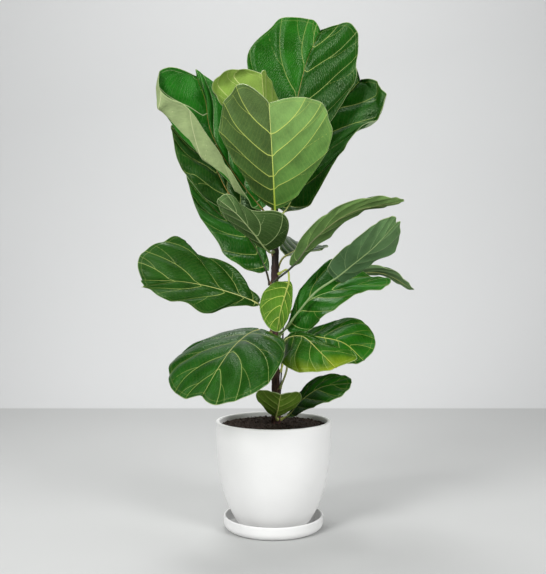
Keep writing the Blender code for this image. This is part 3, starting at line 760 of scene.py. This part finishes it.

# What each leaf looks like. Colours run from its base to its tip. Each side vein is where it leaves the
# midrib and where it meets the edge, in hundredths of the midrib, left half first; the painted half shade
# (painted shade: one half made darker or lighter for how light falls on it) and the yellowing are for the
# left and right half.
leafLooks = dict(
    # painted shade: most upper and under greens are darker at the base, standing in for the shade where the
    # leaves crowd round the stem
    usual=dict(
        upper="#0c3a04 #14500a", under="#66834a", vein="#aab765", rib="#b3bb68", paintedHalfShade=(1, 1),
        yellowing=(0, 0), quilt=1, sway=1,
        veins=[
            [(4, 7), (14, 22), (30, 42), (49, 62), (71, 80)],
            [(6, 10), (19, 28), (36, 49), (56, 68), (77, 85)],
        ],
    ),
    top_leaf=dict(
        upper="#0c3c04 #145a06", rib="#8f8044 #7e6a35", paintedHalfShade=(1.25, 0.7),
        veins=[
            [(4, 10), (20, 40), (50, 62), (72, 80), (89, 92)],
            [(4, 8), (16, 36), (42, 58), (66, 74), (86, 90)],
        ],
    ),
    upper_right_leaf=dict(upper="#0c3c04 #0f4806", under="#7e8f72"),
    front_leaf=dict(
        under="#4b7830 #769854", vein="#bcc964", rib="#b5cc3c #c3cc7c", paintedHalfShade=(1.0, 0.42), quilt=0.7,
        sway=0.6,
        veins=[
            [(5, 10), (24, 28), (37, 54), (55, 66), (72, 80)],
            [(6, 12), (20, 25), (32, 46), (52, 64), (74, 82)],
        ],
    ),
    young_leaf=dict(upper="#2c4210", under="#6d8c34 #7d9a42", vein="#c6cf86"),
    upper_left_leaf=dict(upper="#14600a", under="#7c8e5c #9aaa7a", vein="#c3c79a", rib="#a07a38 #8c7038"),
    inner_left_leaf=dict(upper="#0a2c04 #124208", rib="#a97f36 #9a8040"),
    outer_left_leaf=dict(upper="#0c4404 #145208", rib="#2c2018 #4a3420 #9a7c3c"),
    cupped_leaf=dict(under="#233c10 #4f6c3c", vein="#a9bd80", rib="#7f8f58 #a3b27c", upper="#2a6a24"),
    thin_right_leaf=dict(under="#466332 #69884a", vein="#8aa45e", rib="#1f2a1a #a8b46a", paintedHalfShade=(0.9, 1.1)),
    back_leaf=dict(upper="#16320a", rib="#a8a84a"),
    middle_right_leaf=dict(under="#446340 #587848", vein="#7f9a68", rib="#7d9560 #93aa6a"),
    narrow_right_leaf=dict(under="#58744a", vein="#7f9a68"),
    arching_leaf=dict(upper="#104c06 #185a0a", rib="#6f8a48 #97a860"),
    middle_left_leaf=dict(upper="#123c06 #184408", rib="#b9bc70 #8f9a52"),
    lower_left_leaf=dict(upper="#0c3e04 #164a08", rib="#a8a860 #b0b46a"),
    hanging_leaf=dict(under="#456f18 #4d7820", vein="#c4d062", rib="#a4b04a"),
    yellowing_leaf=dict(upper="#0f3e04 #265c08", rib="#b9bd78 #c3bc5c", yellowing=(0, 0.38)),
    lower_right_leaf=dict(upper="#104a04 #185808", vein="#b6c260", rib="#c2c860"),
    small_bottom_leaf=dict(under="#4f6c20", vein="#8fa250"),
    bottom_right_leaf=dict(upper="#0c3c06 #16500a"),
)

blade = dict(
    thickness=0.0011,
    stalkRadius=0.0022,
    stemGap=0.0003,
    veinSweep=0.75,
    veinBow=0.022,
    veinLag=1.25,
    ribBlend=0.1,
    creaseWidth=0.16,
    # rows between side veins and rows about each in vein widths, and columns from midrib to edge
    rowsBetween=12,
    veinRows=(-2.2, -1, 0, 1, 2.2),
    columns=(0, 0.012, 0.028, 0.050, 0.080, *np.linspace(0.115, 0.93, 25), 0.955, 0.975, 0.99, 1),
    veinWidth=0.0010,
    veinTaper=0.6,
    veinRidge=0.0009,
    ridgeTaper=0.75,
    ridgeStop=0.004,
    veinGroove=0.0003,
    ribWidth=0.0015,
    ribTaper=0.7,
    ribGroove=0.0004,
    quilt=0.0125,
    quiltReach=0.009,
    quiltEdge=0.6,
    ruffle=0.012,
    sway=0.0040,
    swayScale=15,
    # distance across a side vein, as a share of the distance along the blade
    veinSlant=0.8,
    forkFrom=0.5,
    forkBack=0.45,
    forkCurve=0.85,
    # where it starts to yellow and over what run: across a half, along it and at the tip
    yellowAcross=(0.62, 0.36),
    yellowAlong=(0.25, 0.3),
    yellowTip=(0.78, 0.15),
    # relief is full on a leaf this long and less on a shorter one, down to a least share
    fullLength=0.26,
    leastSize=0.6,
    stalkFlare=0.75,
    stalkTaper=0.82,
    stalkSunk=0.72,
    sunkBy=0.025,
    footInside=(0.0035, 0.003),
)
# what each point of a leaf tells its materials: how far it is from the veins and the midrib in their own
# half widths and from the edge in millimetres, how yellow it is, and its colours
leafNumbers = ("veinLine", "forkLine", "forkNear", "ribLine", "edgeLine", "yellowing")
leafColours = dict(upperColour="upper", underColour="under", veinColour="vein", ribColour="rib")

# half a blade in hundredths of its length and half width: where a side vein leaves the midrib, then how
# far along and across it meets the edge
outlines = dict(
    broad=[
        (0, 0, 0), (3, 0, 18), (6, 3, 36), (11, 12, 55), (18, 28, 72), (27, 48, 86), (37, 67, 97),
        (49, 84, 100), (62, 96, 85), (77, 103, 57), (90, 104, 28), (100, 100, 0),
    ],
    oval=[
        (0, 0, 0), (3, 0, 14), (6, 4, 30), (12, 16, 54), (20, 32, 78), (31, 50, 94), (43, 66, 100),
        (55, 79, 94), (68, 89, 76), (81, 96, 50), (92, 99, 26), (100, 100, 0),
    ],
)


def stalkStart(leaf, first):
    # the stalk's foot stands on the bark, just clear of it however steeply it leaves
    height, azimuth = leaf["node"][0] / 1000, leaf["node"][1]
    drift, radius = smooth(wood["course"], height)[0]
    outward = direction(azimuth, 0)
    skin = np.array([drift, 0, height]) + radius * outward
    slant = math.sqrt(1 - min(1, unit(first - skin) @ outward) ** 2)
    return skin + outward * (blade["stemGap"] + blade["stalkRadius"] * slant)


def centreLine(leaf):
    # stalk and midrib as one line: distances past the blade's base, points, and the blade's axes there
    stalk = leaf.get("stalk", [])
    points = np.array(stalk + leaf["rib"]) / 1000
    points = np.vstack([stalkStart(leaf, points[0]), points])
    # the power keeps the line from overshooting where its points are unevenly spaced
    steps = np.linalg.norm(np.diff(points, axis=0), axis=1) ** 0.75
    places = np.concatenate([[0], np.cumsum(steps)])
    at = np.linspace(0, places[-1], 160)
    line = smooth(np.column_stack([places, points]), at)
    reach = np.concatenate([[0], np.cumsum(np.linalg.norm(np.diff(line, axis=0), axis=1))])
    reach -= np.interp(places[1 + len(stalk)], at, reach)
    length = reach[-1]
    # the line runs on past the tip, for side veins that reach beyond it
    past = np.linspace(0.02, 0.3, 12) * length
    line = np.vstack([line, line[-1] + unit(line[-1] - line[-14]) * past[:, None]])
    reach = np.concatenate([reach, length + past])
    along = unit(np.gradient(line, reach, axis=0))
    faces = np.array([direction(*facing) for facing in leaf["facing"]])
    share = np.clip(reach / length, 0, 1)
    up = np.column_stack([spread(faces[:, axis], share) for axis in range(3)])
    up = unit(up - along * (up * along).sum(axis=1, keepdims=True))
    return dict(reach=reach, length=length, point=line, up=up, side=np.cross(along, up))


def read(line, reach):
    return (
        np.column_stack([np.interp(reach, line["reach"], line[key][:, axis]) for axis in range(3)])
        for key in ("point", "side", "up")
    )


def bladeSurface(leaf, line, starts, vs):
    # starts is rows by columns: where on the midrib the surface is swept from; vs runs across, from -1
    # at the left edge to 1 at the right
    points = np.zeros((*starts.shape, 3))
    outline = np.array(outlines[leaf.get("outline", "oval")]) / 100
    for column, v in enumerate(vs):
        half, out, us = leaf["right" if v >= 0 else "left"], abs(v), starts[:, column]
        along, across = smooth(outline, us).T
        sweep = blade["veinSweep"] * out + (1 - blade["veinSweep"]) * out**2
        reach = (us + (along - us) * sweep * spread(half.get("reach", 1), us)) * line["length"]
        steps = np.linspace(0, out, 40)[None]
        fold, curl, crease, turn = (
            spread(half.get(key, idle), us)[:, None]
            for key, idle in (("fold", 0), ("curl", 0), ("crease", 1), ("turn", 0))
        )
        past = np.clip((steps - crease) / blade["creaseWidth"] + 0.5, 0, 1)
        bend = np.radians(fold + curl * steps**2 + turn * ease(past))
        width = across * spread(np.array(half["width"]) / 1000, us)
        outwards = np.trapz(np.cos(bend), steps[0], axis=1) * width * math.copysign(1, v)
        upwards = np.trapz(np.sin(bend), steps[0], axis=1) * width
        point, side, up = read(line, reach)
        points[:, column] = point + side * outwards[:, None] + up * upwards[:, None]
    return points


def bladeRows(veins, near):
    # rows crowded about each side vein, so that its ridge is crisp, and even between
    knots, rows = [0, *veins, 1], [0]
    first, *_, last = blade["veinRows"]
    for number, (low, high) in enumerate(zip(knots, knots[1:])):
        low += last * near if number else 0
        high += first * near if number < len(veins) else 0
        rows += list(np.linspace(low, high, blade["rowsBetween"] + 2)[1:-1])
        if number < len(veins):
            rows += [veins[number] + near * step for step in blade["veinRows"]]
    return np.array([*rows, 1])[:, None]


def rowStarts(veins, near, vs):
    # each row leaves the midrib beside its side veins and hangs back before it curves forwards to the edge
    out = abs(vs)[None]
    roots, ends = ([bladeRows(half[:, end], near) for half in veins] for end in (0, 1))
    shared = (roots[0] + roots[1]) / 2
    root, end = (np.where(vs[None] < 0, *pair) for pair in (roots, ends))
    away = ease(ramp(out, 0, blade["ribBlend"]))
    root = shared + (root - shared) * away
    starts = root + (end - root) * out ** blade["veinLag"]
    # 16 makes veinBow the most that it hangs back
    return starts - blade["veinBow"] * 16 * out * (1 - out) * starts * (1 - starts)


def distances(middle, vs, mid, veinCount):
    # how far each point of the blade is from the midrib, along it, and from the edge, the side veins and
    # their forks
    across = np.linalg.norm(np.diff(middle, axis=1), axis=2)
    across = np.concatenate([np.zeros((len(middle), 1)), np.cumsum(across, axis=1)], axis=1)
    ribGap = abs(across - across[:, mid:mid + 1])
    along = np.linalg.norm(np.diff(middle, axis=0), axis=2)
    along = np.concatenate([np.zeros((1, len(vs))), np.cumsum(along, axis=0)])
    edgeGap = np.where(vs < 0, ribGap[:, :1], ribGap[:, -1:]) - ribGap
    edgeGap = np.minimum(edgeGap, along[-1] - along)
    between, beside = blade["rowsBetween"], len(blade["veinRows"])
    veinRows = [between * (vein + 1) + beside * vein + beside // 2 + 1 for vein in range(veinCount)]
    veinGap = np.min([abs(along - along[row]) for row in veinRows], axis=0) * blade["veinSlant"]
    past = ramp(abs(vs), blade["forkFrom"], 1 - blade["forkFrom"]) ** blade["forkCurve"]
    forks = np.array([
        along - along[row] + blade["forkBack"] * (along[row] - along[below]) * past
        for below, row in zip(veinRows, veinRows[1:])
    ]) * blade["veinSlant"]
    nearest = abs(forks).argmin(axis=0)[None]
    return ribGap, along, edgeGap, veinGap, np.take_along_axis(forks, nearest, axis=0)[0]


def colourRun(hexColours, share):
    # colours spread evenly from a leaf's base to its tip
    stops = np.array([toLinear(colour) for colour in hexColours.split()])
    places = np.linspace(0, 1, len(stops))
    return np.stack([np.interp(share, places, stops[:, channel]) for channel in range(4)], axis=-1)


def growBlade(shape, leaf, line, look):
    length = line["length"]
    size = max(blade["leastSize"], min(1, length / blade["fullLength"]))
    half = np.array(blade["columns"])
    vs = np.concatenate([-half[:0:-1], half])
    veins = np.array(look["veins"]) / 100
    starts = rowStarts(veins, blade["veinWidth"] / length, vs)
    middle = bladeSurface(leaf, line, starts, vs)
    ribGap, along, edgeGap, veinGap, forkGap = distances(middle, vs, len(half) - 1, veins.shape[1])

    # the blade puffs up between its veins, ruffles at its edge and sways as a whole
    normal = unit(np.cross(np.gradient(middle, axis=1), np.gradient(middle, axis=0)))
    normal[0], normal[-1] = normal[1], normal[-2]
    out = abs(vs)[None]
    share = np.clip(starts, 0, 1)
    valley = blade["quiltReach"] * size
    pillow = (1 - bell(veinGap, valley)) * (1 - bell(ribGap, valley))
    pillow *= 1 - blade["quiltEdge"] * bell(edgeGap, valley)
    lift = blade["quilt"] * look["quilt"] * pillow
    lift += blade["ruffle"] * out**4 * (1 - bell(veinGap, valley))
    lift = lift * length
    scale = blade["swayScale"]
    sway = np.array([[noise.noise(Vector(point) * scale) for point in row] for row in middle])
    lift += blade["sway"] * look["sway"] * size * sway * np.minimum(1, out * 2)
    ends = np.ones((len(middle), 1))
    ends[[0, -1]] = 0
    middle = middle + normal * (lift * ends)[:, :, None]

    # both faces of it: veins are grooves above and ridges below
    veinHalf = blade["veinWidth"] * (1 - blade["veinTaper"] * out) * size
    ribHalf = blade["ribWidth"] * (1 - blade["ribTaper"] * share)
    groove = blade["veinGroove"] * bell(veinGap, veinHalf) + blade["ribGroove"] * bell(ribGap, ribHalf)
    ridge = blade["veinRidge"] * (1 - blade["ridgeTaper"] * out) * bell(veinGap, veinHalf)
    ridge *= 1 - bell(edgeGap, blade["ridgeStop"])
    thick = blade["thickness"] * ends
    above = middle + normal * (thick / 2 - groove * ends)[:, :, None]
    below = middle - normal * (thick / 2 + ridge * ends)[:, :, None]
    left, right = (
        (middle[:, edge] + unit(middle[:, edge] - middle[:, inner]) * thick * 0.5)[:, None]
        for edge, inner in ((0, 1), (-1, -2))
    )
    rings = np.concatenate([above, right, below[:, ::-1], left], axis=1)

    def wrap(values):
        # one value for each point of the rings, and the first again where the grid closes
        values = np.broadcast_to(values, (*middle.shape[:2], *values.shape[2:]))
        whole = [values, values[:, -1:], values[:, ::-1], values[:, :1], values[:, :1]]
        return np.concatenate(whole, axis=1).reshape(-1, *values.shape[2:])

    known, faceCount = len(shape.verts), len(shape.faces)
    verts = rollSleeve(shape, rings)
    edge = ramp(out, *blade["yellowAcross"]) * ramp(share, *blade["yellowAlong"])
    yellow = np.where(vs < 0, *look["yellowing"])[None] * edge
    yellow = yellow + max(look["yellowing"]) * ramp(share, *blade["yellowTip"])
    numbers = (
        veinGap / veinHalf, np.clip(forkGap / veinHalf, -6, 6), abs(forkGap) / veinHalf,
        ribGap / np.maximum(ribHalf, 1e-4), edgeGap / 0.001, np.clip(yellow, 0, 1),
    )
    layers = [(shape.verts.layers.float[name], wrap(values)) for name, values in zip(leafNumbers, numbers)]
    # painted shade: each half's upper and under colours are made darker or lighter for how light falls on
    # that half
    paintedHalfShade = np.where(vs < 0, *look["paintedHalfShade"])[None, :, None] * [1, 1, 1, 0] + np.array([0, 0, 0, 1])
    for name, key in leafColours.items():
        colours = colourRun(look[key], share) * (paintedHalfShade if key in ("upper", "under") else 1)
        layers.append((shape.verts.layers.float_color[name], wrap(colours)))
    for layer, values in layers:
        for vert, value in zip(verts, values):
            vert[layer] = value
    flat = wrap(np.stack([ribGap * np.sign(vs)[None], along], axis=2)) * 10
    uvLayer = shape.loops.layers.uv["leafFlat"]
    shape.verts.index_update()
    shape.faces.ensure_lookup_table()
    for number, face in enumerate(shape.faces[faceCount:]):
        underneath = len(vs) < number % rings.shape[1] < 2 * len(vs)
        face.material_index = int(underneath)
        for loop in face.loops:
            loop[uvLayer].uv = flat[loop.vert.index - known]


def growStalk(shape, leaf, line, look):
    # stalk and midrib as one tapering tube that sinks into the blade's underside
    length, start = line["length"], line["reach"][0]
    reach = np.concatenate([np.linspace(start, 0, 26)[:-1], np.linspace(0, 0.97 * length, 60)])
    share = np.clip(reach / length, 0, 1)
    radius = blade["stalkRadius"] * (1 - blade["stalkTaper"] * share**0.6)
    radius *= 1 + blade["stalkFlare"] * bell(reach - start, 0.005)
    sunk = blade["stalkSunk"] * ramp(reach, 0, blade["sunkBy"])
    point, side, up = read(line, reach)
    centre = point - up * (radius * sunk)[:, None]
    # its foot runs on into the stem
    inward = -direction(leaf["node"][1], 0)
    centre = np.vstack([*(centre[0] + inward * depth for depth in blade["footInside"]), centre])
    side, up = (np.vstack([axis[:1], axis[:1], axis]) for axis in (side, up))
    radius = np.array([0, radius[0], *radius[:-1], 0])
    turn = turns(14)
    ring = np.cos(turn)[None, :, None] * side[:, None] + np.sin(turn)[None, :, None] * up[:, None]
    faceCount = len(shape.faces)
    verts = rollSleeve(shape, (centre[:, None] + radius[:, None, None] * ring)[:, ::-1])
    layer = shape.verts.layers.float_color["ribColour"]
    colours = colourRun(look["rib"], np.concatenate([[0, 0], share]))
    for number, vert in enumerate(verts):
        vert[layer] = colours[number // (len(turn) + 1)]
    shape.faces.ensure_lookup_table()
    for face in shape.faces[faceCount:]:
        face.material_index = 2


def makeLeaf(name, leaf, look, finishes):
    line = centreLine(leaf)
    shape = bmesh.new()
    for layer in leafNumbers:
        shape.verts.layers.float.new(layer)
    for layer in leafColours:
        shape.verts.layers.float_color.new(layer)
    shape.loops.layers.uv.new("leafFlat")
    growBlade(shape, leaf, line, look)
    growStalk(shape, leaf, line, look)
    joinPoints(shape, 4e-6)
    finishPiece("blade_of_" + name, shape, finishes, name, sharpDegrees=180)


def makeLamina(name, bodyName, values):
    # one side of a fig leaf: its green, carrying painted shade on darker halves and bases, paler side veins,
    # their forks, faint rungs and a fine net
    made, add, shader, spots = startMaterial(name)
    flat = add("TexCoord").outputs["UV"]
    body, vein, rib = (
        add("Attribute", attribute_name=key) for key in (bodyName, "veinColour", "ribColour"))
    veinLine, forkLine, forkNear, ribLine, edgeLine, yellowing = (
        add("Attribute", attribute_name=key).outputs["Fac"] for key in leafNumbers)

    # one cloud, about 40 mm across, makes the blotches, the uneven yellow tongues, the wander of the loops
    # and the uneven gloss
    cloud = add("TexNoise", {"Vector": spots, "Scale": 26, "Detail": 5, "Roughness": 0.6})
    patch, tongues, wander, rough = (
        add("MapRange", {"Value": cloud, "From Min": low, "From Max": high, "To Min": start, "To Max": end})
        for low, high, start, end in (
            (0.34, 0.66, 1 - values["patch"], 1 + values["patch"]), (0.3, 0.7, 0.35, 1.5), (0, 1, 3, 12),
            (0.3, 0.7, *values["rough"]),
        )
    )
    blotched = add("Mix", {0: 1, 6: body, 7: patch}, data_type="RGBA", blend_type="MULTIPLY")
    aged = add("Math", {0: yellowing, 1: tongues}, operation="MULTIPLY", use_clamp=True)

    # rungs from one side vein to the next, about 12 mm apart, and a net of cells about 7 by 8 mm between
    # them; the real net is 1 to 2 mm, too fine to show, so it is drawn coarser
    bothHalves = add("VectorMath", {0: flat}, operation="ABSOLUTE")
    slanted = add("Mapping", {"Vector": bothHalves, "Rotation": (0, 0, -0.5)})
    rungs = add("TexWave", {"Vector": slanted, "Scale": 2.6, "Distortion": 6, "Detail": 3,
                            "Detail Scale": 0.9}, wave_type="BANDS", bands_direction="X")
    stretched = add("Mapping", {"Vector": flat, "Scale": (15, 12, 1)})
    net = add("TexVoronoi", {"Vector": stretched, "Scale": 1, "Randomness": 0.9},
              feature="DISTANCE_TO_EDGE", voronoi_dimensions="2D")

    # each marking shows fully up to its first distance and not at all past its second
    fork, loop = (
        add("Math", {0: line}, operation="ABSOLUTE")
        for line in (forkLine, add("Math", {0: edgeLine, 1: wander}, operation="SUBTRACT"))
    )
    flushMask, netMask, hereMask, rungMask, forkMask, loopMask, veinMask, ribMask, edgeMask = (
        add("MapRange", {"Value": gap, "From Min": full, "From Max": gone, "To Min": show, "To Max": 0},
            interpolation_type=fade)
        for gap, full, gone, show, fade in (
            (veinLine, 0, 7, values["flush"], "LINEAR"),
            (net, 0.01, 0.10, values["net"], "LINEAR"),
            (forkNear, 3, 4, 1, "LINEAR"),
            (rungs.outputs["Fac"], 1, 0.82, values["rungs"], "SMOOTHSTEP"),
            (fork, 0.2, 1.1, values["forks"], "SMOOTHSTEP"),
            (loop, 0.2, 0.8, values["loops"], "SMOOTHSTEP"),
            (veinLine, *values["veinFade"], values["veinShow"], "SMOOTHSTEP"),
            (ribLine, 0.5, 1.2, 1, "SMOOTHSTEP"),
            (edgeLine, 0.3, 1.0, values["edgeShow"], "SMOOTHSTEP"),
        )
    )
    fine = add("Math", {0: rungMask, 1: netMask}, operation="MAXIMUM")
    forked = add("Math", {0: forkMask, 1: hereMask}, operation="MULTIPLY")
    thin = add("Math", {0: forked, 1: loopMask}, operation="MAXIMUM")
    veins = add("Math", {0: veinMask, 1: thin}, operation="MAXIMUM")
    colour = blotched
    for mask, tint in ((flushMask, vein), (fine, vein), (aged, values["yellow"]), (veins, vein),
                       (ribMask, rib), (edgeMask, values["edge"])):
        colour = add("Mix", {0: mask, 6: colour, 7: tint}, data_type="RGBA")

    height = add("Math", {0: net, 1: values["blister"]}, operation="MULTIPLY")
    netBump = add("Bump", {"Height": height, "Strength": 0.8, "Distance": 0.0008})
    # leathery skin: the real bumps are under 1 mm, so they are drawn about 2 mm apart to show
    pores = add("TexNoise", {"Vector": spots, "Scale": 420, "Detail": 3})
    skin = add("Bump", {"Height": pores, "Strength": values["pores"], "Distance": 0.0004,
                        "Normal": netBump})
    feed(shader, {"Base Color": colour, "Roughness": rough, "Normal": skin,
                  "Specular IOR Level": values["gloss"], "Specular Tint": values["glare"]})
    return made


laminas = dict(
    # waxy cuticle: a clear gloss over deep green, veins sunk, thin and pale
    waxyLeafUpper=("upperColour", dict(
        patch=0.25, flush=0.02, rungs=0.035, net=0.035, yellow="#a3ab1c", forks=0.4, loops=0.22,
        veinFade=(0.25, 1.0), veinShow=0.8, edge="#a9b884", edgeShow=0.7, rough=(0.24, 0.40), blister=1,
        pores=0.1, gloss=0.30, glare="#c6e4b4",
    )),
    # unglazed underside: greyer and matte, veins raised
    matteLeafUnder=("underColour", dict(
        patch=0.18, flush=0.03, rungs=0.05, net=0.04, yellow="#c2bd55", forks=0.55, loops=0.25,
        veinFade=(0.4, 1.4), veinShow=0.95, edge="#c0cc96", edgeShow=0.75, rough=(0.48, 0.62),
        blister=-0.9, pores=0.3, gloss=0.18, glare="#d6e2c4",
    )),
)
stalkBlotch = "#5f6a2c"


def makeStalkSkin():
    # green stalk and midrib: smooth, pale, faintly blotched every 8 mm
    made, add, shader, spots = startMaterial("smoothLeafStalk")
    rib = add("Attribute", attribute_name="ribColour")
    cloud = add("TexNoise", {"Vector": spots, "Scale": 120, "Detail": 4})
    patch = add("MapRange", {"Value": cloud, "From Min": 0.45, "From Max": 0.75, "To Max": 0.3})
    colour = add("Mix", {0: patch, 6: rib, 7: stalkBlotch}, data_type="RGBA")
    relief = add("Bump", {"Height": cloud, "Strength": 0.2, "Distance": 0.0004})
    feed(shader, {"Base Color": colour, "Normal": relief, "Roughness": 0.45})
    return made


makeStem(wood, makeGrained("figBark", wood["bark"]))
makeBud(wood, makeDrySkin("paperyBudSheath"))
makeStipules(wood, makeDrySkin("driedStipule"))
makeStake(wood, makeDrySkin("darkStakeWood"))
print("stem, bud, stipules and stake made")

# upper side, underside and stalk, as the faces number them
finishes = [makeLamina(name, body, values) for name, (body, values) in laminas.items()]
finishes.append(makeStalkSkin())
for name, leaf in leafShapes.items():
    makeLeaf(name, leaf, {**leafLooks["usual"], **leafLooks.get(name, {})}, finishes)
print("leaves made:", len(leafShapes))
